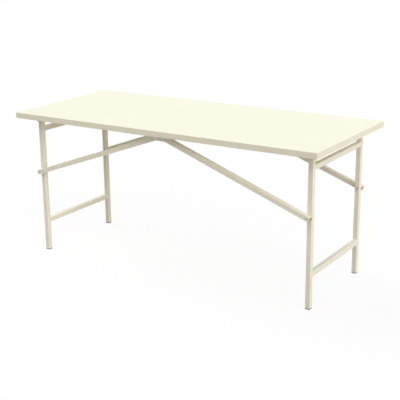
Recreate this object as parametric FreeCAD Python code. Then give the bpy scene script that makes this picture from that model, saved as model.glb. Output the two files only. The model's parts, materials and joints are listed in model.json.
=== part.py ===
import FreeCAD, Part
import math
import os

# Folding work table: a long laminated board on two H-shaped leg frames of square steel tube.
# The frames hinge under the board, and four diagonal braces hook onto studs on the legs.
# Millimetres. X runs along the table, Y from front to back, Z up from the middle of the floor.

# Tabletop
top_length = 1800.0
top_width = 775.0
table_height = 804.0
core_thickness = 28.0
laminate_thickness = 0.8
backing_thickness = 0.7
edge_band_thickness = 2.0
edge_rounding = 1.2

# Square tube of the legs, crossbars and braces
tube_size = 25.4
tube_wall = 1.5
tube_inner_rounding = 1.0

# Leg frames, with the places of the legs' outer faces given from the edges of the top
frame_end_inset = 66.5
frame_side_inset = 100.0
lower_crossbar_height = 174.0
upper_crossbar_drop = 73.0
leg_above_pin = 14.0

# Foot caps
foot_flange_thickness = 5.0
foot_plug_length = 25.0
foot_plug_clearance = 0.1
foot_rounding = 1.0

# Sheet metal of the hinge brackets and centre brackets
sheet_thickness = 2.5
plate_corner_rounding = 4.0

# Hinge brackets and pins
hinge_plate_length = 96.0
hinge_ear_width = 52.0
hinge_ear_bottom_width = 14.0
hinge_ear_below_pin = 11.6
hinge_ear_rounding = 3.0
hinge_side_gap = 0.4
hinge_swing_gap = 3.0
hinge_pin_radius = 5.0
hinge_pin_head_radius = 8.0
hinge_pin_head_thickness = 3.0
hinge_screw_edge = 13.0
hinge_screw_spacing = 16.0

# Braces
brace_outer_end = 13.0
brace_inner_end = 10.0
brace_ear_gap = 0.7
brace_side_gap = 0.3
brace_slot_gap = 0.3
brace_slot_flare = 1.2

# Studs that the braces hook onto: a pin inside the brace, a collar and a thread through the leg
stud_height = 464.0
stud_pin_radius = 5.0
stud_pin_length = 10.0
stud_collar_radius = 8.5
stud_thread_radius = 4.0
stud_thread_end = 3.0
stud_tapped_depth = 8.0
leg_nut_width = 13.0
leg_nut_height = 6.5
leg_washer_radius = 8.0
leg_washer_thickness = 1.6

# Lock bolts through the outer walls of the braces, shown just short of the tapped pins
lock_bolt_radius = 3.0
lock_bolt_head_width = 10.0
lock_bolt_head_height = 4.0
lock_bolt_gap = 0.5
lock_washer_radius = 6.0
lock_washer_thickness = 1.6

# Centre brackets, each with one bolt for the right brace and one for the left
centre_bracket_length = 73.0
centre_bolt_spread = 39.0
centre_plate_below_bolt = 14.5
centre_side_gap = 0.5
centre_swing_gap = 3.3
centre_bolt_radius = 3.0
centre_bolt_head_width = 10.0
centre_bolt_head_height = 4.0
centre_bolt_end = 2.5
centre_nut_height = 5.0
centre_bush_wall = 2.5
centre_screw_edge = 8.0
centre_screw_spacing = 12.0

# Countersunk wood screws, with the wood that is left above their tips
screw_radius = 2.0
screw_head_radius = 4.0
screw_head_depth = 2.2
screw_tip_length = 4.0
screw_tip_radius = 0.3
screw_cover = 9.0

# Fits: pins and bolts that turn, bolts in plain holes, nuts on threads and screws in wood
turning_fit = 0.05
bolt_hole_fit = 0.2
thread_fit = 0.02

# How the table folds: legs turn inward, and braces swing up just past level
leg_fold_angle = math.radians(87.5)
brace_lift_angle = math.radians(0.5)

# Places that follow from the sizes above
underside = table_height - laminate_thickness - core_thickness - backing_thickness
plate_bottom = underside - sheet_thickness
tube_rounding = tube_inner_rounding + tube_wall
tube_bore = tube_size - 2 * tube_wall
half_tube = tube_size / 2

leg_x = top_length / 2 - frame_end_inset - half_tube
leg_y = top_width / 2 - frame_side_inset - half_tube
leg_front_face = -leg_y - half_tube
leg_back_face = -leg_y + half_tube
hinge_z = plate_bottom - hinge_swing_gap - math.hypot(half_tube, leg_above_pin)
upper_crossbar_z = underside - upper_crossbar_drop

hinge_ear_front = leg_front_face - hinge_side_gap - sheet_thickness
hinge_ear_back = leg_back_face + hinge_side_gap + sheet_thickness

brace_back_face = hinge_ear_front - brace_ear_gap
brace_front_face = brace_back_face - tube_size
brace_y = brace_back_face - half_tube
centre_x = centre_bolt_spread / 2
centre_z = plate_bottom - centre_swing_gap - math.hypot(half_tube, brace_inner_end)
brace_length = math.hypot(leg_x - centre_x, centre_z - stud_height)
brace_angle = math.atan2(centre_z - stud_height, leg_x - centre_x)
brace_swing_angle = brace_angle + brace_lift_angle

centre_plate_front = brace_front_face - centre_side_gap - sheet_thickness
centre_plate_back = brace_back_face + centre_side_gap + sheet_thickness

X = FreeCAD.Vector(1, 0, 0)
Y = FreeCAD.Vector(0, 1, 0)
Z = FreeCAD.Vector(0, 0, 1)
ORIGIN = FreeCAD.Vector(0, 0, 0)
FACES = ("front", "back")
SIDES = ("right", "left")


def block(x0, x1, y0, y1, z0, z1):
    """A box between two corners."""
    return Part.makeBox(x1 - x0, y1 - y0, z1 - z0, FreeCAD.Vector(x0, y0, z0))


def rod(x, z, y0, y1, radius):
    """A round bar that runs from front to back."""
    return Part.makeCylinder(radius, y1 - y0, FreeCAD.Vector(x, y0, z), Y)


def hexagon(x, z, y0, y1, width):
    """A hexagonal prism that runs from front to back, width measured across its flats."""
    radius = width / math.sqrt(3)
    corners = []
    for step in range(7):
        turn = math.radians(60 * step)
        corners.append(FreeCAD.Vector(x + radius * math.cos(turn), y0, z + radius * math.sin(turn)))
    return Part.Face(Part.makePolygon(corners)).extrude(Y * (y1 - y0))


def edges_along(shape, axis):
    """The straight edges of a shape that are parallel to an axis."""
    found = []
    for edge in shape.Edges:
        if isinstance(edge.Curve, Part.Line) and edge.Curve.Direction.cross(axis).Length < 1e-6:
            found.append(edge)
    return found


def rounded_bar(length, size, rounding):
    """A square bar along X with rounded long edges, centred on the X axis."""
    bar = block(0, length, -size / 2, size / 2, -size / 2, size / 2)
    return bar.makeFillet(rounding, edges_along(bar, X))


def square_tube(length):
    """A length of the table's square tube along X."""
    outside = rounded_bar(length, tube_size, tube_rounding)
    return outside.cut(rounded_bar(length, tube_bore, tube_inner_rounding))


def at_corner(shape, face, side):
    """Copies a piece of the front right corner to any corner of the table."""
    if side == "left":
        shape = shape.mirror(ORIGIN, X)
    if face == "back":
        shape = shape.mirror(ORIGIN, Y)
    return shape


def screw(x, y, growth=0.0):
    """A countersunk screw driven up through a bracket, or the hole for it when growth is given."""
    radius = screw_radius + growth
    head_radius = screw_head_radius + growth
    shank_z = plate_bottom + screw_head_depth
    tip_z = table_height - laminate_thickness - screw_cover - screw_tip_length
    head_base = FreeCAD.Vector(x, y, plate_bottom)
    shank_base = FreeCAD.Vector(x, y, shank_z)
    tip_base = FreeCAD.Vector(x, y, tip_z)
    head = Part.makeCone(head_radius, radius, screw_head_depth, head_base)
    shank = Part.makeCylinder(radius, tip_z - shank_z, shank_base)
    tip = Part.makeCone(radius, screw_tip_radius + growth, screw_tip_length + growth, tip_base)
    return head.fuse([shank, tip]).removeSplitter()


def grid_places(x, y, length, width):
    """The four corners of a rectangle around a point."""
    return [(x + sx * length / 2, y + sy * width / 2) for sx in (-1, 1) for sy in (-1, 1)]


def hinge_screw_places():
    """Places of the four screws in the front right hinge bracket."""
    return grid_places(leg_x, -leg_y, hinge_plate_length - 2 * hinge_screw_edge, hinge_screw_spacing)


def centre_screw_places():
    """Places of the four screws in the front centre bracket."""
    return grid_places(0, brace_y, centre_bracket_length - 2 * centre_screw_edge, centre_screw_spacing)


def all_screw_places():
    """Places of every screw under the top."""
    places = []
    for x, y in hinge_screw_places():
        places += [(x, y), (-x, y), (x, -y), (-x, -y)]
    for x, y in centre_screw_places():
        places += [(x, y), (x, -y)]
    return places


def tabletop_pieces():
    """Core board, laminate, backing sheet and the four edge bands."""
    end_x = top_length / 2
    edge_y = top_width / 2
    inner_x = end_x - edge_band_thickness
    inner_y = edge_y - edge_band_thickness
    core_bottom = underside + backing_thickness
    core_top = core_bottom + core_thickness
    holes = [screw(x, y, thread_fit) for x, y in all_screw_places()]

    def layer(z0, z1):
        return block(-inner_x, inner_x, -inner_y, inner_y, z0, z1)

    slab = block(-end_x, end_x, -edge_y, edge_y, underside, table_height)
    slab = slab.makeFillet(edge_rounding, slab.Edges)

    def band(x0, x1, y0, y1):
        return slab.common(block(x0, x1, y0, y1, underside, table_height))

    return {
        "top_core_board": layer(core_bottom, core_top).cut(holes),
        "top_laminate": layer(core_top, table_height),
        "underside_backing_sheet": layer(underside, core_bottom).cut(holes),
        "edge_band_front": band(-end_x, end_x, -edge_y, -inner_y),
        "edge_band_back": band(-end_x, end_x, inner_y, edge_y),
        "edge_band_left": band(-end_x, -inner_x, -inner_y, inner_y),
        "edge_band_right": band(inner_x, end_x, -inner_y, inner_y),
    }


def hinge_ear(y0):
    """One ear of the hinge bracket: straight above the pin, slanting in below it."""
    half_top = hinge_ear_width / 2
    half_bottom = hinge_ear_bottom_width / 2
    outline = [
        (leg_x - half_top, plate_bottom),
        (leg_x - half_top, hinge_z),
        (leg_x - half_bottom, hinge_z - hinge_ear_below_pin),
        (leg_x + half_bottom, hinge_z - hinge_ear_below_pin),
        (leg_x + half_top, hinge_z),
        (leg_x + half_top, plate_bottom),
    ]
    points = [FreeCAD.Vector(x, y0, z) for x, z in outline]
    ear = Part.Face(Part.makePolygon(points + points[:1])).extrude(Y * sheet_thickness)
    middle_z = (hinge_z + plate_bottom) / 2
    lower_edges = [edge for edge in edges_along(ear, Y) if edge.CenterOfMass.z < middle_z]
    return ear.makeFillet(hinge_ear_rounding, lower_edges)


def hinge_bracket():
    """Front right hinge bracket: a plate under the top with one ear on each side of the leg."""
    half_length = hinge_plate_length / 2
    plate = block(
        leg_x - half_length, leg_x + half_length, hinge_ear_front, hinge_ear_back, plate_bottom, underside)
    plate = plate.makeFillet(plate_corner_rounding, edges_along(plate, Z))
    ears = [hinge_ear(hinge_ear_front), hinge_ear(hinge_ear_back - sheet_thickness)]
    holes = [screw(x, y, thread_fit) for x, y in hinge_screw_places()]
    holes.append(rod(leg_x, hinge_z, hinge_ear_front, hinge_ear_back, hinge_pin_radius + thread_fit))
    return plate.fuse(ears).removeSplitter().cut(holes)


def hinge_pin():
    """Front right hinge pin: flush with the outer ear, with its head on the inner ear."""
    head_end = hinge_ear_back + hinge_pin_head_thickness
    shank = rod(leg_x, hinge_z, hinge_ear_front, hinge_ear_back, hinge_pin_radius)
    head = rod(leg_x, hinge_z, hinge_ear_back, head_end, hinge_pin_head_radius)
    return shank.fuse(head).removeSplitter()


def leg():
    """Front right leg with its holes for the hinge pin and the stud."""
    tube = square_tube(hinge_z + leg_above_pin - foot_flange_thickness)
    tube.rotate(ORIGIN, Y, -90)
    tube.translate(FreeCAD.Vector(leg_x, -leg_y, foot_flange_thickness))
    pin_hole = rod(leg_x, hinge_z, leg_front_face, leg_back_face, hinge_pin_radius + turning_fit)
    stud_hole = rod(leg_x, stud_height, leg_front_face, leg_back_face, stud_thread_radius + bolt_hole_fit)
    return tube.cut([pin_hole, stud_hole])


def crossbar(z):
    """Crossbar of the right leg frame, from the inner face of one leg to the other."""
    tube = square_tube(-2 * leg_back_face)
    tube.rotate(ORIGIN, Z, 90)
    tube.translate(FreeCAD.Vector(leg_x, leg_back_face, z))
    return tube


def foot_cap():
    """Front right foot cap: a flange as wide as the leg and a plug inside the tube."""
    flange = rounded_bar(foot_flange_thickness, tube_size, tube_rounding)
    floor_edges = [edge for edge in flange.Edges if edge.BoundBox.XMax < foot_rounding]
    flange = flange.makeFillet(foot_rounding, floor_edges)
    plug_size = tube_bore - 2 * foot_plug_clearance
    plug = rounded_bar(foot_plug_length, plug_size, tube_inner_rounding)
    plug.translate(X * foot_flange_thickness)
    cap = flange.fuse(plug).removeSplitter()
    cap.rotate(ORIGIN, Y, -90)
    cap.translate(FreeCAD.Vector(leg_x, -leg_y, 0))
    return cap


def brace_slot():
    """The open slot in a brace's inner and lower walls, along the stud's path as the leg folds."""
    ratio = brace_swing_angle / leg_fold_angle
    stud_arm = hinge_z - stud_height
    inward = stud_arm * math.cos(brace_angle)
    downward = stud_arm * math.sin(brace_angle) + ratio * brace_length
    speed = math.hypot(inward, downward)
    along = FreeCAD.Vector(-inward / speed, 0, -downward / speed)
    across = FreeCAD.Vector(-along.z, 0, along.x)
    radius = stud_pin_radius + brace_slot_gap
    reach = (half_tube + radius) * speed / downward
    slot_front = half_tube - stud_pin_length - lock_bolt_gap
    seat = FreeCAD.Vector(brace_length, slot_front, 0)
    mouth = seat + along * reach
    points = [
        seat + across * radius,
        mouth + across * (radius + brace_slot_flare),
        mouth - across * (radius + brace_slot_flare),
        seat - across * radius,
    ]
    channel = Part.Face(Part.makePolygon(points + points[:1])).extrude(Y * (half_tube - slot_front))
    return channel.fuse(rod(brace_length, 0, slot_front, half_tube, radius))


def place_brace(shape):
    """Turns and moves a piece from the X axis to the front right brace's place."""
    shape.rotate(ORIGIN, Y, math.degrees(brace_angle))
    shape.translate(FreeCAD.Vector(centre_x, brace_y, centre_z))
    return shape


def brace():
    """Front right brace: a tube with a pivot hole at the centre and a hook slot at the leg."""
    tube = square_tube(brace_inner_end + brace_length + brace_outer_end)
    tube.translate(X * -brace_inner_end)
    pivot_hole = rod(0, 0, -half_tube, half_tube, centre_bolt_radius + turning_fit)
    lock_hole = rod(brace_length, 0, -half_tube, -tube_bore / 2, lock_bolt_radius + bolt_hole_fit)
    return place_brace(tube.cut([pivot_hole, lock_hole, brace_slot()]))


def brace_bush():
    """Bush between the walls of the front right brace, around the centre bolt."""
    inner_radius = centre_bolt_radius + turning_fit
    outer = rod(0, 0, -tube_bore / 2, tube_bore / 2, inner_radius + centre_bush_wall)
    return place_brace(outer.cut(rod(0, 0, -tube_bore / 2, tube_bore / 2, inner_radius)))


def ring(x, z, y0, y1, outer_radius, inner_radius):
    """A flat ring around a bolt that runs from front to back."""
    return rod(x, z, y0, y1, outer_radius).cut(rod(x, z, y0, y1, inner_radius))


def lock_bolt():
    """Front right lock bolt, with its head on the brace's outer face and its tip near the stud's pin."""
    seat = -half_tube - lock_washer_thickness
    tip = half_tube - stud_pin_length - lock_bolt_gap
    head = hexagon(brace_length, 0, seat - lock_bolt_head_height, seat, lock_bolt_head_width)
    shank = rod(brace_length, 0, seat, tip, lock_bolt_radius)
    return place_brace(head.fuse(shank).removeSplitter())


def lock_washer():
    """Washer under the head of the front right lock bolt."""
    outer_face = -half_tube - lock_washer_thickness
    inner_radius = lock_bolt_radius + bolt_hole_fit
    return place_brace(ring(brace_length, 0, outer_face, -half_tube, lock_washer_radius, inner_radius))


def leg_stud():
    """Front right stud: its pin in the brace, its collar against the leg and its thread through the leg."""
    pin_end = brace_back_face - stud_pin_length
    collar_front = brace_back_face + brace_side_gap
    thread_end = leg_back_face + leg_washer_thickness + leg_nut_height + stud_thread_end
    pin = rod(leg_x, stud_height, pin_end, collar_front, stud_pin_radius)
    collar = rod(leg_x, stud_height, collar_front, leg_front_face, stud_collar_radius)
    thread = rod(leg_x, stud_height, leg_front_face, thread_end, stud_thread_radius)
    tapped_end = pin_end + stud_tapped_depth
    tapped_hole = rod(leg_x, stud_height, pin_end, tapped_end, lock_bolt_radius + thread_fit)
    return pin.fuse([collar, thread]).removeSplitter().cut(tapped_hole)


def leg_washer():
    """Washer under the front right stud's nut."""
    outer_face = leg_back_face + leg_washer_thickness
    inner_radius = stud_thread_radius + bolt_hole_fit
    return ring(leg_x, stud_height, leg_back_face, outer_face, leg_washer_radius, inner_radius)


def leg_nut():
    """Nut of the front right stud, on the inner side of the leg."""
    seat = leg_back_face + leg_washer_thickness
    nut = hexagon(leg_x, stud_height, seat, seat + leg_nut_height, leg_nut_width)
    return nut.cut(rod(leg_x, stud_height, seat, seat + leg_nut_height, stud_thread_radius + thread_fit))


def centre_bracket():
    """Front centre bracket: a channel under the top that holds the inner ends of two braces."""
    half_length = centre_bracket_length / 2
    bottom = centre_z - centre_plate_below_bolt

    def sheet(y0, y1, z0):
        return block(-half_length, half_length, y0, y1, z0, underside)

    plate = sheet(centre_plate_front, centre_plate_back, plate_bottom)
    front_wall = sheet(centre_plate_front, centre_plate_front + sheet_thickness, bottom)
    back_wall = sheet(centre_plate_back - sheet_thickness, centre_plate_back, bottom)
    bracket = plate.fuse([front_wall, back_wall]).removeSplitter()
    lower_edges = [edge for edge in edges_along(bracket, Y) if edge.CenterOfMass.z < centre_z]
    bracket = bracket.makeFillet(plate_corner_rounding, lower_edges)
    hole_radius = centre_bolt_radius + bolt_hole_fit
    holes = [screw(x, y, thread_fit) for x, y in centre_screw_places()]
    for x in (-centre_x, centre_x):
        holes.append(rod(x, centre_z, centre_plate_front, centre_plate_back, hole_radius))
    return bracket.cut(holes)


def centre_bolt():
    """Bolt of the front right brace in the centre bracket, head to the front."""
    head_front = centre_plate_front - centre_bolt_head_height
    shank_end = centre_plate_back + centre_nut_height + centre_bolt_end
    head = hexagon(centre_x, centre_z, head_front, centre_plate_front, centre_bolt_head_width)
    shank = rod(centre_x, centre_z, centre_plate_front, shank_end, centre_bolt_radius)
    return head.fuse(shank).removeSplitter()


def centre_nut():
    """Nut of the front right brace's centre bolt."""
    end = centre_plate_back + centre_nut_height
    nut = hexagon(centre_x, centre_z, centre_plate_back, end, centre_bolt_head_width)
    return nut.cut(rod(centre_x, centre_z, centre_plate_back, end, centre_bolt_radius + thread_fit))


def save(name, *solids):
    """Writes one node, as a single solid or as a group of separate ones."""
    shape = solids[0] if len(solids) == 1 else Part.makeCompound(solids)
    shape.exportStep(f"parts/{name}.step")


os.makedirs("parts", exist_ok=True)

for name, piece in tabletop_pieces().items():
    save(name, piece)

corner_pieces = {
    "hinge_bracket": hinge_bracket(),
    "hinge_pin": hinge_pin(),
    "leg": leg(),
    "foot_cap": foot_cap(),
    "brace": brace(),
    "brace_bush": brace_bush(),
    "lock_bolt": lock_bolt(),
    "lock_washer": lock_washer(),
}
for name, piece in corner_pieces.items():
    for face in FACES:
        for side in SIDES:
            save(f"{name}_{face}_{side}", at_corner(piece, face, side))

side_fasteners = {
    "leg_studs": leg_stud(),
    "leg_washers": leg_washer(),
    "leg_nuts": leg_nut(),
}
for side in SIDES:
    save(f"upper_crossbar_{side}", at_corner(crossbar(upper_crossbar_z), "front", side))
    save(f"lower_crossbar_{side}", at_corner(crossbar(lower_crossbar_height), "front", side))
    for name, piece in side_fasteners.items():
        save(f"{name}_{side}", *[at_corner(piece, face, side) for face in FACES])

for face in FACES:
    save(f"centre_bracket_{face}", at_corner(centre_bracket(), face, "right"))

for name, piece in (("centre_bolts", centre_bolt()), ("centre_nuts", centre_nut())):
    save(name, *[at_corner(piece, face, side) for face in FACES for side in SIDES])

save("bracket_screws", *[screw(x, y) for x, y in all_screw_places()])
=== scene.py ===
"""Looks of the folding work table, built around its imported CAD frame.

Metres in the frame's own axes: X along the table, Y from front to back, Z up from the floor.
Places are read from the frame. Sizes of the small hardware repeat the part's own, in millimetres times MM.
"""
import json
import math
import random

import bmesh
import bpy
from mathutils import Matrix, Vector


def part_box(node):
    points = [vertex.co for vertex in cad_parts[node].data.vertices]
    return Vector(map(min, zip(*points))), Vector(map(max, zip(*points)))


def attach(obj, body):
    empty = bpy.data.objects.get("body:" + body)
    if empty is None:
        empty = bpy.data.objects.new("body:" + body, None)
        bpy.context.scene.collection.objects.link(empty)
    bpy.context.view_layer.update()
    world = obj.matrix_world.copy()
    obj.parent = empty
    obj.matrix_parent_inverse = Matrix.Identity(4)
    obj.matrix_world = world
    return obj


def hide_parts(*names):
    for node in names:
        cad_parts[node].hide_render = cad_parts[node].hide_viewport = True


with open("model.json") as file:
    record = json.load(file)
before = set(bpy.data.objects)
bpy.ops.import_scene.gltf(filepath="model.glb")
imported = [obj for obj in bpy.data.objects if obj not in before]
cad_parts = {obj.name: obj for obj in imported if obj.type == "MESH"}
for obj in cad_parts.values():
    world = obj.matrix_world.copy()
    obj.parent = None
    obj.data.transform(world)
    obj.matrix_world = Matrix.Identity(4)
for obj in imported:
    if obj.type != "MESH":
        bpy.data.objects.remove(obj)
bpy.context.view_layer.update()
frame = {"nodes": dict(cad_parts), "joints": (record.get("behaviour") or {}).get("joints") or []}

MM = 0.001

# Signs of X at the table's ends and of Y at its long sides
SIDES = {"right": 1, "left": -1}
FACES = {"front": -1, "back": 1}


def middle(node):
    """The middle of a node's box."""
    low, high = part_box(node)
    return (low + high) / 2


# Places at the back right corner of the table, which the other corners mirror
pivots = {joint["child"]: joint["pos_m"] for joint in frame["joints"]}
LEG_X, _, HINGE_Z = pivots["right_leg_frame"]
CENTRE_BOLT_X, BRACE_Y, CENTRE_BOLT_Z = pivots["back_right_brace"]
LEG_Y = middle("leg_back_right").y
LEG_INNER_FACE, LEG_OUTER_FACE = (corner.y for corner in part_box("leg_back_right"))
BRACE_OUTER_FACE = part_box("brace_back_right")[1].y
HINGE_INNER_FACE, HINGE_OUTER_FACE = (corner.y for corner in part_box("hinge_bracket_back_right"))
CENTRE_INNER_FACE, CENTRE_OUTER_FACE = (corner.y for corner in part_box("centre_bracket_back"))
LOCK_BOLT_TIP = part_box("lock_bolt_back_right")[0].y
STUD_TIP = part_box("leg_studs_right")[1].y
STUD_Z = middle("leg_nuts_right").z
UPPER_CROSSBAR_Z = middle("upper_crossbar_right").z
LOWER_CROSSBAR_Z = middle("lower_crossbar_right").z
SCREW_HEAD_Z, SCREW_TIP_Z = (corner.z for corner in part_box("bracket_screws"))
BRACE_ANGLE = math.atan2(CENTRE_BOLT_Z - STUD_Z, LEG_X - CENTRE_BOLT_X)

# Square tube of the legs, crossbars and braces
TUBE = LEG_OUTER_FACE - LEG_INNER_FACE
TUBE_WALL = 1.5 * MM
TUBE_ROUNDING = 2.5 * MM

# Fits of nuts on threads and of washers around bolts
THREAD_FIT = 0.02 * MM
BOLT_HOLE_FIT = 0.2 * MM

# Lock bolts and centre bolts, with their washers and nuts
BOLT_RADIUS = 3 * MM
BOLT_PITCH = 1 * MM
BOLT_THREAD_LENGTH = 12 * MM
BOLT_WIDTH = 10 * MM
BOLT_HEAD_HEIGHT = 4 * MM
WASHER_THICKNESS = 1.6 * MM
LOCK_WASHER_RADIUS = 6 * MM
CENTRE_NUT_HEIGHT = 5 * MM
CENTRE_BOLT_END = 2.5 * MM

# Studs of the legs: a pin inside the brace, a collar and a thread through the leg, with a washer and a nut
STUD_PIN_RADIUS = 5 * MM
STUD_TAPPED_DEPTH = 8 * MM
STUD_COLLAR_RADIUS = 8.5 * MM
STUD_COLLAR_HEIGHT = 3.3 * MM
STUD_THREAD_RADIUS = 4 * MM
STUD_PITCH = 1.25 * MM
STUD_THREAD_LENGTH = 14 * MM
STUD_THREAD_END = 3 * MM
LEG_WASHER_RADIUS = 8 * MM
LEG_NUT_WIDTH = 13 * MM
LEG_NUT_HEIGHT = 6.5 * MM

# Hinge pins
HINGE_PIN_RADIUS = 5 * MM
HINGE_PIN_HEAD_RADIUS = 8 * MM
HINGE_PIN_HEAD_HEIGHT = 3 * MM

# Countersunk wood screws, with their places on the brackets' plates
SCREW_RADIUS = 2 * MM
SCREW_HEAD_RADIUS = 4 * MM
SCREW_HEAD_DEPTH = 2.2 * MM
SCREW_TIP_LENGTH = 4 * MM
SCREW_TIP_RADIUS = 0.3 * MM
HINGE_SCREW_EDGE = 13 * MM
HINGE_SCREW_SPACING = 16 * MM
CENTRE_SCREW_EDGE = 8 * MM
CENTRE_SCREW_SPACING = 12 * MM

# Foot caps
FOOT_FLANGE = 5 * MM
FOOT_ROUNDING = 1 * MM
FOOT_PLUG_LENGTH = 25 * MM
FOOT_PLUG_INSET = TUBE_WALL + 0.2 * MM

# Turned shapes: points around, loops in a turn of thread, depth of thread as a share of its diameter,
# radius of the round face of a bolt head or nut as a share of its width, and slope of its chamfer
TURN_STEPS = 60
THREAD_STEPS = 8
THREAD_DEPTH = 0.09
HEX_FACE_SHARE = 0.475
HEX_CHAMFER_SLOPE = math.tan(math.radians(30))


class Finish:
    """A procedural material: one Principled shader with patterns for colour, roughness and bump."""

    # Sockets of a mix node that hold colours
    MIX_FIRST, MIX_SECOND, MIX_RESULT = 6, 7, 2

    def __init__(self, name, fixed=None):
        self.material = bpy.data.materials.new(name)
        self.material.use_nodes = True
        self.tree = self.material.node_tree
        self.shader = self.tree.nodes["Principled BSDF"]
        for socket, value in (fixed or {}).items():
            self.shader.inputs[socket].default_value = value
        self.place = self.add("ShaderNodeTexCoord").outputs["Object"]

    def feed(self, socket, value):
        """Links a node's output to a socket, or sets the socket to a plain value."""
        if isinstance(value, bpy.types.NodeSocket):
            self.tree.links.new(value, socket)
        else:
            socket.default_value = value

    def add(self, kind, inputs=None, **settings):
        node = self.tree.nodes.new(kind)
        for key, value in settings.items():
            setattr(node, key, value)
        for key, value in (inputs or {}).items():
            self.feed(node.inputs[key], value)
        return node

    def axes(self):
        """The X, Y and Z of the place."""
        return self.add("ShaderNodeSeparateXYZ", {0: self.place}).outputs

    def stretched(self, scale):
        """The place, stretched by a factor along each axis."""
        node = self.add("ShaderNodeVectorMath", {0: self.place, 1: scale}, operation="MULTIPLY")
        return node.outputs[0]

    def noise(self, scale, detail, place=None):
        inputs = {"Vector": place or self.place, "Scale": scale, "Detail": detail}
        return self.add("ShaderNodeTexNoise", inputs).outputs[0]

    def cells(self, scale):
        """A pattern of cells, each with a grey tone of its own."""
        pattern = self.add("ShaderNodeTexVoronoi", {"Vector": self.place, "Scale": scale})
        return self.add("ShaderNodeSeparateColor", {0: pattern.outputs["Color"]}).outputs[0]

    def math(self, operation, a, b=0.0):
        return self.add("ShaderNodeMath", {0: a, 1: b}, operation=operation).outputs[0]

    def hypot(self, a, b):
        """The length of the long side of a right triangle."""
        squares = [self.math("MULTIPLY", side, side) for side in (a, b)]
        return self.math("SQRT", self.math("ADD", *squares))

    def ramp(self, value, start=0.3, end=0.7, low=0.0, high=1.0):
        """Goes from low to high, with soft ends, as a value goes from start to end."""
        inputs = {"Value": value, "From Min": start, "From Max": end, "To Min": low, "To Max": high}
        return self.add("ShaderNodeMapRange", inputs, interpolation_type="SMOOTHSTEP").outputs[0]

    def mix(self, factor, first, second):
        """Goes from one colour to another, each a triple or the output of a node."""
        inputs = {0: factor}
        for socket, colour in ((self.MIX_FIRST, first), (self.MIX_SECOND, second)):
            inputs[socket] = (*colour, 1) if isinstance(colour, tuple) else colour
        return self.add("ShaderNodeMix", inputs, data_type="RGBA").outputs[self.MIX_RESULT]

    def bump(self, height, strength, distance):
        inputs = {"Height": height, "Strength": strength, "Distance": distance}
        return self.add("ShaderNodeBump", inputs).outputs[0]

    def finish(self, colour, roughness, normal):
        self.feed(self.shader.inputs["Base Color"], colour)
        self.feed(self.shader.inputs["Roughness"], roughness)
        self.feed(self.shader.inputs["Normal"], normal)
        return self.material


def cream_laminate():
    """Satin melamine top: faint clouding, fine speckle and stipple, a few wiped smears in the gloss."""
    cream, pale_cream, speck = (0.893, 0.887, 0.712), (0.907, 0.901, 0.726), (0.80, 0.785, 0.62)
    look = Finish("cream_laminate_top", {"Specular IOR Level": 0.42})
    cloud = look.noise(scale=2.4, detail=3.0)
    speckle = look.noise(scale=900.0, detail=1.0)
    smear = look.noise(scale=5.0, detail=4.0, place=look.stretched((0.6, 2.2, 1.0)))
    colour = look.mix(look.ramp(cloud), cream, pale_cream)
    colour = look.mix(look.ramp(speckle, 0.52, 0.75, high=0.45), colour, speck)
    roughness = look.ramp(smear, 0.35, 0.7, low=0.36, high=0.46)
    stipple = look.bump(look.noise(scale=1400.0, detail=2.0), strength=0.5, distance=0.2 * MM)
    return look.finish(colour, roughness, stipple)


def edge_band():
    """Plastic edge band: faint streaks along its length, fine grain and duller patches."""
    cream, pale_cream, dull_cream = (0.866, 0.822, 0.660), (0.886, 0.842, 0.680), (0.852, 0.803, 0.64)
    look = Finish("edge_band_strip", {"Specular IOR Level": 0.4})
    streak = look.noise(scale=30.0, detail=3.0, place=look.stretched((0.12, 0.12, 30.0)))
    cloud = look.noise(scale=6.0, detail=2.0)
    colour = look.mix(look.ramp(streak), cream, pale_cream)
    colour = look.mix(look.ramp(cloud, 0.5, 0.8, high=0.3), colour, dull_cream)
    roughness = look.ramp(cloud, low=0.42, high=0.54)
    grain = look.bump(look.noise(scale=1100.0, detail=2.0), strength=0.3, distance=0.2 * MM)
    return look.finish(colour, roughness, grain)


def backing_sheet():
    """Matt balancing sheet under the board: paper fibres and handling blotches."""
    cream, pale_cream, stain = (0.875, 0.835, 0.675), (0.905, 0.865, 0.705), (0.83, 0.785, 0.625)
    look = Finish("backing_sheet_underside", {"Specular IOR Level": 0.25})
    fibre = look.noise(scale=160.0, detail=4.0, place=look.stretched((0.15, 1.0, 1.0)))
    blotch = look.noise(scale=7.0, detail=4.0)
    colour = look.mix(look.ramp(fibre, 0.35, 0.65), cream, pale_cream)
    colour = look.mix(look.ramp(blotch, 0.52, 0.75, high=0.4), colour, stain)
    roughness = look.ramp(blotch, low=0.62, high=0.78)
    grain = look.bump(fibre, strength=0.12, distance=0.3 * MM)
    return look.finish(colour, roughness, grain)


def board_core():
    """Pressed wood chips of the core board, which the sheets and the edge bands hide."""
    dark_wood, pale_wood = (0.50, 0.35, 0.20), (0.68, 0.52, 0.33)
    look = Finish("board_core_chips")
    chip = look.cells(scale=260.0)
    colour = look.mix(look.ramp(chip, 0.1, 0.9), dark_wood, pale_wood)
    roughness = look.ramp(chip, 0.0, 1.0, low=0.7, high=0.9)
    return look.finish(colour, roughness, look.bump(chip, strength=0.3, distance=0.5 * MM))


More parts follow.
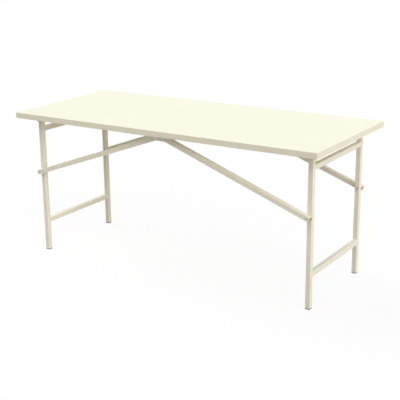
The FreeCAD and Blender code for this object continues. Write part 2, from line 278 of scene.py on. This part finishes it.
def cream_paint():
    """Powder coat: orange-peel skin and faint clouding, worn at feet and studs, with painted shade inside
    the braces' bores.
    """
    cream, pale_cream = (0.892, 0.844, 0.688), (0.906, 0.858, 0.702)
    scuff, rub = (0.52, 0.48, 0.385), (0.60, 0.565, 0.475)
    # Painted shade: darker tones coloured into the inside of each brace's bore
    dark_bore_shade, pale_bore_shade = (0.50, 0.46, 0.365), (0.60, 0.55, 0.44)
    look = Finish("cream_powder_coat", {"Specular IOR Level": 0.5})
    x, y, z = look.axes()
    cloud = look.noise(scale=9.0, detail=3.0)
    grime_and_shade_noise = look.noise(scale=110.0, detail=4.0)
    scratch = look.noise(scale=260.0, detail=3.0, place=look.stretched((1.0, 1.0, 0.12)))
    colour = look.mix(look.ramp(cloud), cream, pale_cream)

    near_floor = look.ramp(z, 0.0, 90 * MM, low=1.0, high=0.0)
    scuffed = look.math("MULTIPLY", near_floor, look.ramp(scratch, 0.54, 0.70, high=0.4))
    colour = look.mix(scuffed, colour, scuff)

    past_stud = look.math("SUBTRACT", look.math("ABSOLUTE", x), LEG_X)
    above_stud = look.math("SUBTRACT", z, STUD_Z)
    near_stud = look.ramp(look.hypot(past_stud, above_stud), 6 * MM, 12 * MM, low=1.0, high=0.0)
    rubbed = look.math("MULTIPLY", near_stud, look.ramp(grime_and_shade_noise, 0.42, 0.62, high=0.4))
    colour = look.mix(rubbed, colour, rub)

    # Painted shade: the inside of each brace's bore is coloured darker, as if in shadow
    bore_reach = TUBE / 2 - TUBE_WALL + 0.3 * MM
    outward = look.math("MULTIPLY", past_stud, math.sin(BRACE_ANGLE))
    upward = look.math("MULTIPLY", above_stud, math.cos(BRACE_ANGLE))
    above_axis = look.math("ABSOLUTE", look.math("ADD", outward, upward))
    beside_axis = look.math("ABSOLUTE", look.math("SUBTRACT", look.math("ABSOLUTE", y), BRACE_Y))
    in_bore = look.math("LESS_THAN", look.math("MAXIMUM", above_axis, beside_axis), bore_reach)
    bore_shade = look.mix(look.ramp(grime_and_shade_noise, 0.35, 0.65), dark_bore_shade, pale_bore_shade)
    colour = look.mix(in_bore, colour, bore_shade)

    scuff_dulling = look.math("MULTIPLY", scuffed, 0.25)
    roughness = look.math("ADD", look.ramp(cloud, low=0.32, high=0.38), scuff_dulling)
    peel = look.bump(look.noise(scale=620.0, detail=1.0), strength=0.3, distance=0.3 * MM)
    return look.finish(colour, roughness, peel)


def grey_plastic():
    """Moulded foot caps: fine spark-eroded grain and dust near the floor."""
    dark_grey, pale_grey, dusty = (0.165, 0.160, 0.142), (0.21, 0.205, 0.183), (0.36, 0.34, 0.30)
    look = Finish("grey_moulded_plastic", {"Specular IOR Level": 0.4})
    _, _, z = look.axes()
    grain = look.noise(scale=1800.0, detail=2.0)
    dust = look.noise(scale=300.0, detail=3.0)
    colour = look.mix(look.ramp(grain, 0.35, 0.65), dark_grey, pale_grey)
    near_floor = look.ramp(z, 0.0, 3 * MM, low=1.0, high=0.0)
    dusted = look.math("MULTIPLY", near_floor, look.ramp(dust, 0.45, 0.7, high=0.5))
    colour = look.mix(dusted, colour, dusty)
    roughness = look.ramp(dust, low=0.48, high=0.62)
    return look.finish(colour, roughness, look.bump(grain, strength=0.2, distance=0.2 * MM))


def zinc_steel():
    """Zinc-plated hardware: crystal spangle, a thin warm tint and uneven gloss."""
    dark_zinc, pale_zinc, warm_zinc = (0.47, 0.47, 0.485), (0.60, 0.60, 0.61), (0.45, 0.425, 0.38)
    look = Finish("zinc_plated_steel", {"Metallic": 1.0})
    spangle = look.cells(scale=700.0)
    tarnish = look.noise(scale=240.0, detail=4.0)
    colour = look.mix(look.ramp(spangle, 0.0, 1.0), dark_zinc, pale_zinc)
    colour = look.mix(look.ramp(tarnish, 0.5, 0.75, high=0.5), colour, warm_zinc)
    roughness = look.ramp(tarnish, low=0.32, high=0.48)
    grain = look.bump(look.noise(scale=1500.0, detail=2.0), strength=0.1, distance=0.1 * MM)
    return look.finish(colour, roughness, grain)


finishes = {
    "cream_laminate": cream_laminate(),
    "edge_band": edge_band(),
    "backing_sheet": backing_sheet(),
    "board_core": board_core(),
    "cream_paint": cream_paint(),
    "grey_plastic": grey_plastic(),
    "zinc_steel": zinc_steel(),
}

for node in frame["nodes"].values():
    for holder in node.material_slots:
        holder.material = finishes[holder.material.name]


def facing(origin, outward, along=(1, 0, 0)):
    """Takes shapes built along Z to a place, with Z turned to face outward and X to run along."""
    z = Vector(outward)
    x = Vector(along)
    turn = Matrix((x, z.cross(x), z)).transposed().to_4x4()
    turn.translation = origin
    return turn


def loop(radius, height, steps=TURN_STEPS):
    """A loop of points around Z, whose radius and height are numbers or functions of the angle."""
    points = []
    for step in range(steps):
        turn = math.tau * step / steps
        r = radius(turn) if callable(radius) else radius
        h = height(turn) if callable(height) else height
        points.append(Vector((r * math.cos(turn), r * math.sin(turn), h)))
    return points


def skin(mesh, rows, place, wrap=False, caps=True):
    """Joins loops of points into a skin: joined last to first, capped at both ends, or left open."""
    loops = [[mesh.verts.new(place @ point) for point in row] for row in rows]
    pairs = list(zip(loops, loops[1:]))
    if wrap:
        pairs.append((loops[-1], loops[0]))
    for low, high in pairs:
        for i in range(len(low)):
            j = (i + 1) % len(low)
            mesh.faces.new((low[i], low[j], high[j], high[i]))
    if caps and not wrap:
        mesh.faces.new(loops[0][::-1])
        mesh.faces.new(loops[-1])
    return loops


def piece(name, mesh, finish, body, replaced=(), sharp_angle=35):
    """Turns a bmesh into a piece that rides on a body and may stand for CAD nodes."""
    bmesh.ops.recalc_face_normals(mesh, faces=mesh.faces)
    data = bpy.data.meshes.new(name)
    mesh.to_mesh(data)
    mesh.free()
    data.shade_smooth()
    data.set_sharp_from_angle(angle=math.radians(sharp_angle))
    data.materials.append(finishes[finish])
    made = bpy.data.objects.new(name, data)
    bpy.context.scene.collection.objects.link(made)
    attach(made, body)
    if replaced:
        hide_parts(*replaced)


def hex_radius(width):
    """The outline of a hexagon, width measured across its flats, with a corner on the X axis."""
    return lambda turn: width / 2 / math.cos(turn % (math.pi / 3) - math.pi / 6)


def hex_edge(width, end, inward):
    """The curved edge that a chamfer leaves on the sides of a hexagon, inward from the height of its end."""
    side = hex_radius(width)
    face = HEX_FACE_SHARE * width
    return lambda turn: end + inward * (side(turn) - face) * HEX_CHAMFER_SLOPE


def thread_row(radius, pitch, height):
    """One loop of a helical thread."""
    depth = THREAD_DEPTH * 2 * radius
    phase = math.tau * height / pitch
    return loop(lambda turn: radius - depth * (0.5 - 0.5 * math.cos(phase - turn)), height)


def shank_rows(radius, length, thread_length, pitch):
    """Loops of a shank on the inner side of its seat, from its threaded tip up to its plain part."""
    tip, shoulder = 0.72 * radius, 0.86 * radius
    shoulder_height, thread_start = 0.35 * pitch - length, 0.5 * pitch - length
    rows = [loop(tip, -length), loop(shoulder, shoulder_height)]
    for step in range(int(THREAD_STEPS * (thread_length - pitch) / pitch)):
        rows.append(thread_row(radius, pitch, thread_start + pitch * step / THREAD_STEPS))
    return rows + [loop(radius, thread_length - length), loop(radius, 0.0)]


def hex_bolt(mesh, place, length):
    """A hexagon bolt with its head on the outer side of place and its shank on the inner side."""
    face = HEX_FACE_SHARE * BOLT_WIDTH
    dish_radius, dish_depth = 0.86 * face, 0.04 * BOLT_HEAD_HEIGHT
    side = hex_radius(BOLT_WIDTH)
    rows = shank_rows(BOLT_RADIUS, length, BOLT_THREAD_LENGTH, BOLT_PITCH) + [
        loop(side, 0.0),
        loop(side, hex_edge(BOLT_WIDTH, BOLT_HEAD_HEIGHT, -1)),
        loop(face, BOLT_HEAD_HEIGHT),
        loop(dish_radius, BOLT_HEAD_HEIGHT - dish_depth),
    ]
    skin(mesh, rows, place)


def leg_stud(mesh, place):
    """A turned stud on the outer face of a leg: collar, tapped pin and a thread through the leg."""
    collar_bevel, pin_bevel, hole_bevel = 0.3 * MM, 0.4 * MM, 0.38 * MM
    hole, hole_tip, hole_cone = BOLT_RADIUS + THREAD_FIT, 0.4 * MM, 0.8 * MM
    shank = TUBE + WASHER_THICKNESS + LEG_NUT_HEIGHT + STUD_THREAD_END
    end = STUD_TIP - LEG_OUTER_FACE
    hole_end = end - STUD_TAPPED_DEPTH
    rows = shank_rows(STUD_THREAD_RADIUS, shank, STUD_THREAD_LENGTH, STUD_PITCH) + [
        loop(STUD_COLLAR_RADIUS - collar_bevel, 0.0),
        loop(STUD_COLLAR_RADIUS, collar_bevel),
        loop(STUD_COLLAR_RADIUS, STUD_COLLAR_HEIGHT - collar_bevel),
        loop(STUD_COLLAR_RADIUS - collar_bevel, STUD_COLLAR_HEIGHT),
        loop(STUD_PIN_RADIUS, STUD_COLLAR_HEIGHT),
        loop(STUD_PIN_RADIUS, end - pin_bevel),
        loop(STUD_PIN_RADIUS - pin_bevel, end),
        loop(hole + hole_bevel, end),
        loop(hole, end - pin_bevel),
        loop(hole, hole_end + hole_cone),
        loop(hole_tip, hole_end),
    ]
    skin(mesh, rows, place)


def hex_nut(mesh, place, width, height, thread_radius):
    """A hexagon nut chamfered on both faces, standing outward from place."""
    face = HEX_FACE_SHARE * width
    side = hex_radius(width)
    bore = thread_radius + THREAD_FIT
    entry = 0.12 * height
    rows = [
        loop(bore + entry, 0.0),
        loop(face, 0.0),
        loop(side, hex_edge(width, 0.0, 1)),
        loop(side, hex_edge(width, height, -1)),
        loop(face, height),
        loop(bore + entry, height),
        loop(bore, height - entry),
        loop(bore, entry),
    ]
    skin(mesh, rows, place, wrap=True)


def washer(mesh, place, outer, bolt_radius):
    """A stamped washer, standing outward from place: rolled on its outer face, sharp on its seat."""
    bore = bolt_radius + BOLT_HOLE_FIT
    roll = 0.3 * WASHER_THICKNESS
    shoulder, bore_roll, seat_roll = 0.3 * roll, 0.5 * roll, 0.2 * roll
    rows = [
        loop(bore, 0.0),
        loop(outer - seat_roll, 0.0),
        loop(outer, seat_roll),
        loop(outer, WASHER_THICKNESS - roll),
        loop(outer - shoulder, WASHER_THICKNESS - shoulder),
        loop(outer - roll, WASHER_THICKNESS),
        loop(bore + bore_roll, WASHER_THICKNESS),
        loop(bore, WASHER_THICKNESS - bore_roll),
    ]
    skin(mesh, rows, place, wrap=True)


def cross_outline(reach, half_width, height):
    """The twelve corners of a plus sign."""
    arm = ((reach, -half_width), (reach, half_width), (half_width, half_width))
    turns = [Matrix.Rotation(math.pi / 2 * quarter, 3, "Z") for quarter in range(4)]
    return [turn @ Vector((x, y, height)) for turn in turns for x, y in arm]


def cross_screw(mesh, place):
    """A countersunk wood screw with a cross recess in its head, which faces outward at place."""
    length = SCREW_TIP_Z - SCREW_HEAD_Z
    rim, steps = 0.1 * MM, 36
    rows = [
        loop(SCREW_TIP_RADIUS, -length, steps),
        loop(SCREW_RADIUS, SCREW_TIP_LENGTH - length, steps),
        loop(SCREW_RADIUS, -SCREW_HEAD_DEPTH, steps),
        loop(SCREW_HEAD_RADIUS, -rim, steps),
        loop(SCREW_HEAD_RADIUS - rim, 0.0, steps),
    ]
    loops = skin(mesh, rows, place, caps=False)
    mesh.faces.new(loops[0][::-1])

    mouth_reach, mouth_half = 0.56 * SCREW_HEAD_RADIUS, 0.15 * SCREW_HEAD_RADIUS
    floor_reach, floor_half = 0.42 * SCREW_HEAD_RADIUS, 0.11 * SCREW_HEAD_RADIUS
    recess_depth = 0.7 * SCREW_HEAD_DEPTH
    recess = [
        cross_outline(mouth_reach, mouth_half, 0.0),
        cross_outline(floor_reach, floor_half, -recess_depth),
    ]
    walls = skin(mesh, recess, place, caps=False)
    mesh.faces.new(walls[1])
    head_edges = []
    for ring in (loops[-1], walls[0]):
        head_edges += [mesh.edges.get((ring[i], ring[i - 1])) for i in range(len(ring))]
    bmesh.ops.triangle_fill(mesh, use_beauty=True, edges=head_edges)


def rounded_rectangle(half_x, half_y, rounding, height, steps):
    """A loop of points along a rectangle with rounded corners."""
    points = []
    for corner, (sx, sy) in enumerate(((1, 1), (-1, 1), (-1, -1), (1, -1))):
        for step in range(steps + 1):
            turn = math.pi / 2 * (corner + step / steps)
            x = sx * (half_x - rounding) + rounding * math.cos(turn)
            y = sy * (half_y - rounding) + rounding * math.sin(turn)
            points.append(Vector((x, y, height)))
    return points


def foot_cap(mesh, place):
    """A moulded cap: ribbed sole, rounded rim, a fine parting groove and the plug inside the tube."""
    tread, rib_width, rib_slant, rib_insets = 0.9 * MM, 2 * MM, 0.2 * MM, (9 * MM, 5 * MM)
    rim_width, rim_steps = 1.8 * MM, 5
    groove_depth, groove_bottom, groove_top, groove_slant = 0.18 * MM, 2.6 * MM, 3.1 * MM, 0.15 * MM
    flange_bevel, plug_bevel = 0.3 * MM, 1 * MM
    least_rounding, corner_steps = 0.5 * MM, 6
    rows = []

    def row(inset, height):
        half = TUBE / 2 - inset
        rounding = max(TUBE_ROUNDING - inset, least_rounding)
        rows.append(rounded_rectangle(half, half, rounding, height, corner_steps))

    for inset in rib_insets:
        row(inset + rib_slant, tread)
        row(inset, 0.0)
        row(inset - rib_width, 0.0)
        row(inset - rib_width - rib_slant, tread)
    row(rim_width + rib_slant, tread)
    row(rim_width, 0.0)
    for step in range(rim_steps + 1):
        turn = math.pi / 2 * step / rim_steps
        row(FOOT_ROUNDING * (1 - math.sin(turn)), FOOT_ROUNDING * (1 - math.cos(turn)))
    row(0.0, groove_bottom)
    row(groove_depth, groove_bottom + groove_slant)
    row(groove_depth, groove_top - groove_slant)
    row(0.0, groove_top)
    row(0.0, FOOT_FLANGE - flange_bevel)
    row(flange_bevel, FOOT_FLANGE)
    row(FOOT_PLUG_INSET, FOOT_FLANGE)
    row(FOOT_PLUG_INSET, FOOT_FLANGE + FOOT_PLUG_LENGTH - plug_bevel)
    row(FOOT_PLUG_INSET + plug_bevel, FOOT_FLANGE + FOOT_PLUG_LENGTH)
    skin(mesh, rows, place)


def hinge_pin(mesh, place):
    """A hinge pin with its domed head on the outer side of place and its peened end on the inner side."""
    length = HINGE_OUTER_FACE - HINGE_INNER_FACE
    peen_depth, end_bevel = 0.3 * MM, 0.4 * MM
    peen, peen_rim, end_face = 0.55 * HINGE_PIN_RADIUS, 0.62 * HINGE_PIN_RADIUS, 0.93 * HINGE_PIN_RADIUS
    rim, dome_steps = 0.25 * HINGE_PIN_HEAD_HEIGHT, 9
    rows = [
        loop(peen, peen_depth - length),
        loop(peen_rim, -length),
        loop(end_face, -length),
        loop(HINGE_PIN_RADIUS, end_bevel - length),
        loop(HINGE_PIN_RADIUS, 0.0),
        loop(HINGE_PIN_HEAD_RADIUS, 0.0),
    ]
    for step in range(dome_steps):
        turn = math.pi / 2 * step / dome_steps
        height = rim + (HINGE_PIN_HEAD_HEIGHT - rim) * math.sin(turn)
        rows.append(loop(HINGE_PIN_HEAD_RADIUS * math.cos(turn), height))
    skin(mesh, rows, place)


def weld_bead(mesh, place, seed):
    """A rippled bead around the end of a crossbar, where it meets the inner face of a leg at place."""
    draw = random.Random(seed)
    sink, thickness, corner_rounding = 1.7 * MM, 2.1 * MM, 1.2 * MM
    ripple, ripple_height, ripple_steps = 2.3 * MM, 0.09, 5
    thinnest, thickest, swells = 0.9, 1.08, 12
    corner_steps, ring_steps = 4, 10

    corners = rounded_rectangle(TUBE / 2 - sink, TUBE / 2, corner_rounding, 0.0, corner_steps)
    line = []
    for start, end in zip(corners, corners[1:] + corners[:1]):
        count = max(1, round((end - start).length / (ripple / ripple_steps)))
        line += [start.lerp(end, step / count) for step in range(count)]

    swell = [draw.uniform(thinnest, thickest) for _ in range(swells)]
    ring_turns = [math.tau * step / ring_steps for step in range(ring_steps)]
    upward = Vector((0, 0, 1))
    rows = []
    travelled = 0.0
    for i, point in enumerate(line):
        ahead = line[(i + 1) % len(line)]
        tangent = (ahead - line[i - 1]).normalized()
        outward = Vector((tangent.y, -tangent.x, 0))
        share = swells * i / len(line)
        low = int(share)
        size = swell[low] + (swell[(low + 1) % swells] - swell[low]) * (share - low)
        radius = thickness * size * (1 + ripple_height * abs(math.sin(math.pi * travelled / ripple)))
        travelled += (ahead - point).length
        ring = [outward * math.cos(turn) + upward * math.sin(turn) for turn in ring_turns]
        rows.append([point + radius * direction for direction in ring])
    skin(mesh, rows, place, wrap=True)


def add_leg_hardware(side):
    """Studs, nuts, washers, foot caps and weld beads of one leg frame."""
    x = SIDES[side] * LEG_X
    body = f"{side}_leg_frame"
    studs, nuts, washers, welds = (bmesh.new() for _ in range(4))
    for corner, face in FACES.items():
        outward, inward = (0, face, 0), (0, -face, 0)
        leg_stud(studs, facing((x, face * LEG_OUTER_FACE, STUD_Z), outward))
        washer_place = facing((x, face * LEG_INNER_FACE, STUD_Z), inward)
        washer(washers, washer_place, LEG_WASHER_RADIUS, STUD_THREAD_RADIUS)
        nut_place = facing((x, face * (LEG_INNER_FACE - WASHER_THICKNESS), STUD_Z), inward)
        hex_nut(nuts, nut_place, LEG_NUT_WIDTH, LEG_NUT_HEIGHT, STUD_THREAD_RADIUS)
        for bar, z in (("upper", UPPER_CROSSBAR_Z), ("lower", LOWER_CROSSBAR_Z)):
            bar_end = facing((x, face * LEG_INNER_FACE, z), inward)
            weld_bead(welds, bar_end, seed=f"{bar} {corner} {side}")

        cap = bmesh.new()
        foot_cap(cap, Matrix.Translation((x, face * LEG_Y, 0)))
        piece(f"foot_{corner}_{side}", cap, "grey_plastic", body, [f"foot_cap_{corner}_{side}"])
    piece(f"turned_studs_{side}", studs, "zinc_steel", body, [f"leg_studs_{side}"])
    piece(f"hex_nuts_{side}", nuts, "zinc_steel", body, [f"leg_nuts_{side}"])
    piece(f"washers_{side}", washers, "zinc_steel", body, [f"leg_washers_{side}"])
    piece(f"weld_beads_{side}", welds, "cream_paint", body, sharp_angle=60)


def add_brace_hardware(side):
    """Lock bolts and their washers at the outer ends of one side's two braces."""
    sx = SIDES[side]
    along = (sx * math.cos(BRACE_ANGLE), 0, -math.sin(BRACE_ANGLE))
    head_seat = BRACE_OUTER_FACE + WASHER_THICKNESS
    for corner, face in FACES.items():
        body = f"{corner}_{side}_brace"
        outward = (0, face, 0)
        ring = bmesh.new()
        ring_place = facing((sx * LEG_X, face * BRACE_OUTER_FACE, STUD_Z), outward, along)
        washer(ring, ring_place, LOCK_WASHER_RADIUS, BOLT_RADIUS)
        bolt = bmesh.new()
        bolt_place = facing((sx * LEG_X, face * head_seat, STUD_Z), outward, along)
        hex_bolt(bolt, bolt_place, head_seat - LOCK_BOLT_TIP)
        piece(f"lock_ring_{corner}_{side}", ring, "zinc_steel", body, [f"lock_washer_{corner}_{side}"])
        piece(f"lock_hex_bolt_{corner}_{side}", bolt, "zinc_steel", body, [f"lock_bolt_{corner}_{side}"])


def add_centre_bolts():
    """Bolts and nuts of the braces in the centre brackets."""
    length = CENTRE_OUTER_FACE - CENTRE_INNER_FACE + CENTRE_NUT_HEIGHT + CENTRE_BOLT_END
    bolts, nuts = bmesh.new(), bmesh.new()
    for face in FACES.values():
        for sx in SIDES.values():
            x = sx * CENTRE_BOLT_X
            hex_bolt(bolts, facing((x, face * CENTRE_OUTER_FACE, CENTRE_BOLT_Z), (0, face, 0)), length)
            nut_place = facing((x, face * CENTRE_INNER_FACE, CENTRE_BOLT_Z), (0, -face, 0))
            hex_nut(nuts, nut_place, BOLT_WIDTH, CENTRE_NUT_HEIGHT, BOLT_RADIUS)
    piece("centre_hex_bolts", bolts, "zinc_steel", "tabletop", ["centre_bolts"])
    piece("centre_hex_nuts", nuts, "zinc_steel", "tabletop", ["centre_nuts"])


def add_bracket_screws():
    """Four screws in the plate of each hinge bracket and each centre bracket."""
    screws = bmesh.new()

    def screw_plate(bracket, edge, spacing):
        low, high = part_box(bracket)
        y = middle(bracket).y
        for x in (low.x + edge, high.x - edge):
            for half in (-spacing / 2, spacing / 2):
                cross_screw(screws, facing((x, y + half, SCREW_HEAD_Z), (0, 0, -1)))

    for corner in FACES:
        for side in SIDES:
            screw_plate(f"hinge_bracket_{corner}_{side}", HINGE_SCREW_EDGE, HINGE_SCREW_SPACING)
        screw_plate(f"centre_bracket_{corner}", CENTRE_SCREW_EDGE, CENTRE_SCREW_SPACING)
    piece("cross_head_screws", screws, "zinc_steel", "tabletop", ["bracket_screws"])


def add_hinge_pins():
    """A pin in each hinge bracket, with its head towards the middle of the table."""
    for side, sx in SIDES.items():
        for corner, face in FACES.items():
            pin = bmesh.new()
            hinge_pin(pin, facing((sx * LEG_X, face * HINGE_INNER_FACE, HINGE_Z), (0, -face, 0)))
            replaced = [f"hinge_pin_{corner}_{side}"]
            piece(f"hinge_rivet_{corner}_{side}", pin, "zinc_steel", "tabletop", replaced)


for side in SIDES:
    add_leg_hardware(side)
    add_brace_hardware(side)
add_centre_bolts()
add_bracket_screws()
add_hinge_pins()


def seen_directly(tree):
    """One for rays from the camera, mirrors and glass, and zero for the light that falls on the part."""
    path = tree.nodes.new("ShaderNodeLightPath")
    direct = path.outputs["Is Camera Ray"]
    for ray in ("Is Glossy Ray", "Is Transmission Ray"):
        larger = tree.nodes.new("ShaderNodeMath")
        larger.operation = "MAXIMUM"
        tree.links.new(direct, larger.inputs[0])
        tree.links.new(path.outputs[ray], larger.inputs[1])
        direct = larger.outputs[0]
    return direct


def add_floor():
    """A pale floor that the camera sees as white, apart from the faint shadow of the table."""
    half_size, squares, shadow_share = 60.0, 8, 0.10
    bounce_colour, white_colour = (0.42, 0.40, 0.36, 1), (1.0, 1.0, 1.0, 1)
    mesh = bmesh.new()
    bmesh.ops.create_grid(mesh, x_segments=squares, y_segments=squares, size=half_size)
    data = bpy.data.meshes.new("studio_floor")
    mesh.to_mesh(data)
    mesh.free()
    floor = bpy.data.objects.new("studio_floor", data)
    bpy.context.scene.collection.objects.link(floor)

    material = bpy.data.materials.new("studio_floor")
    material.use_nodes = True
    material.cycles.emission_sampling = "NONE"
    tree = material.node_tree
    tree.nodes.clear()
    bounce = tree.nodes.new("ShaderNodeBsdfDiffuse")
    bounce.inputs["Color"].default_value = bounce_colour
    shaded = tree.nodes.new("ShaderNodeBsdfDiffuse")
    shaded.inputs["Color"].default_value = white_colour
    white = tree.nodes.new("ShaderNodeEmission")
    white.inputs["Strength"].default_value = 1.0
    seen = tree.nodes.new("ShaderNodeMixShader")
    seen.inputs[0].default_value = shadow_share
    tree.links.new(white.outputs[0], seen.inputs[1])
    tree.links.new(shaded.outputs[0], seen.inputs[2])
    choice = tree.nodes.new("ShaderNodeMixShader")
    tree.links.new(seen_directly(tree), choice.inputs[0])
    tree.links.new(bounce.outputs[0], choice.inputs[1])
    tree.links.new(seen.outputs[0], choice.inputs[2])
    output = tree.nodes.new("ShaderNodeOutputMaterial")
    tree.links.new(choice.outputs[0], output.inputs["Surface"])
    data.materials.append(material)


def add_world(ambient):
    """White surroundings, which light the part only at the ambient level."""
    world = bpy.data.worlds.new("studio")
    world.use_nodes = True
    bpy.context.scene.world = world
    tree = world.node_tree
    background = tree.nodes["Background"]
    background.inputs["Color"].default_value = (1, 1, 1, 1)
    level = tree.nodes.new("ShaderNodeMapRange")
    level.inputs["To Min"].default_value = ambient
    level.inputs["To Max"].default_value = 1.0
    tree.links.new(seen_directly(tree), level.inputs["Value"])
    tree.links.new(level.outputs[0], background.inputs["Strength"])


def add_softbox(name, azimuth, elevation, level, spread):
    """A very wide soft lamp, with angles in degrees from the table's right towards its front, and up.

    Its level is what a white surface that faces it shows. Gloss mirrors the white surroundings and
    not the lamp, so that the top keeps its colour from every side.
    """
    turn, rise = math.radians(azimuth), math.radians(elevation)
    towards = Vector((math.cos(rise) * math.cos(turn), -math.cos(rise) * math.sin(turn), math.sin(rise)))
    lamp = bpy.data.lights.new(name, "SUN")
    lamp.energy = math.pi * level
    lamp.angle = math.radians(spread)
    holder = bpy.data.objects.new(name, lamp)
    holder.rotation_euler = towards.to_track_quat("Z", "Y").to_euler()
    holder.visible_glossy = False
    bpy.context.scene.collection.objects.link(holder)


def add_camera():
    """The photograph's view: angles in degrees, distances in metres, focal length and width in pixels."""
    azimuth, elevation, roll = math.radians(32.75), math.radians(17.01), math.radians(-0.62)
    target, distance, far_clip = Vector((0.0174, 0.0216, 0.343)), 5.0, 200.0
    focal_pixels, image_width, sensor = 924.5, 400, 36.0
    right = Vector((math.cos(azimuth), math.sin(azimuth), 0))
    level_back = Vector((math.sin(azimuth), -math.cos(azimuth), 0))
    back = math.cos(elevation) * level_back + math.sin(elevation) * Vector((0, 0, 1))
    up = back.cross(right)
    rolled_right = math.cos(roll) * right + math.sin(roll) * up
    rolled_up = math.cos(roll) * up - math.sin(roll) * right
    camera = bpy.data.cameras.new("photo_camera")
    camera.sensor_width = sensor
    camera.lens = focal_pixels / image_width * sensor
    camera.clip_end = far_clip
    holder = bpy.data.objects.new("photo_camera", camera)
    pose = Matrix((rolled_right, rolled_up, back)).transposed().to_4x4()
    pose.translation = target + distance * back
    holder.matrix_world = pose
    bpy.context.scene.collection.objects.link(holder)
    bpy.context.scene.camera = holder


add_floor()
add_world(ambient=0.05)
add_softbox("right_low_softbox", azimuth=5, elevation=12, level=0.21, spread=45)
add_softbox("right_softbox", azimuth=27, elevation=27, level=0.59, spread=65)
add_softbox("front_softbox", azimuth=75, elevation=46, level=0.22, spread=45)
add_softbox("left_softbox", azimuth=190, elevation=46, level=0.60, spread=48)
add_softbox("back_softbox", azimuth=262, elevation=14, level=0.28, spread=50)
add_camera()
bpy.context.scene.view_settings.view_transform = "Standard"
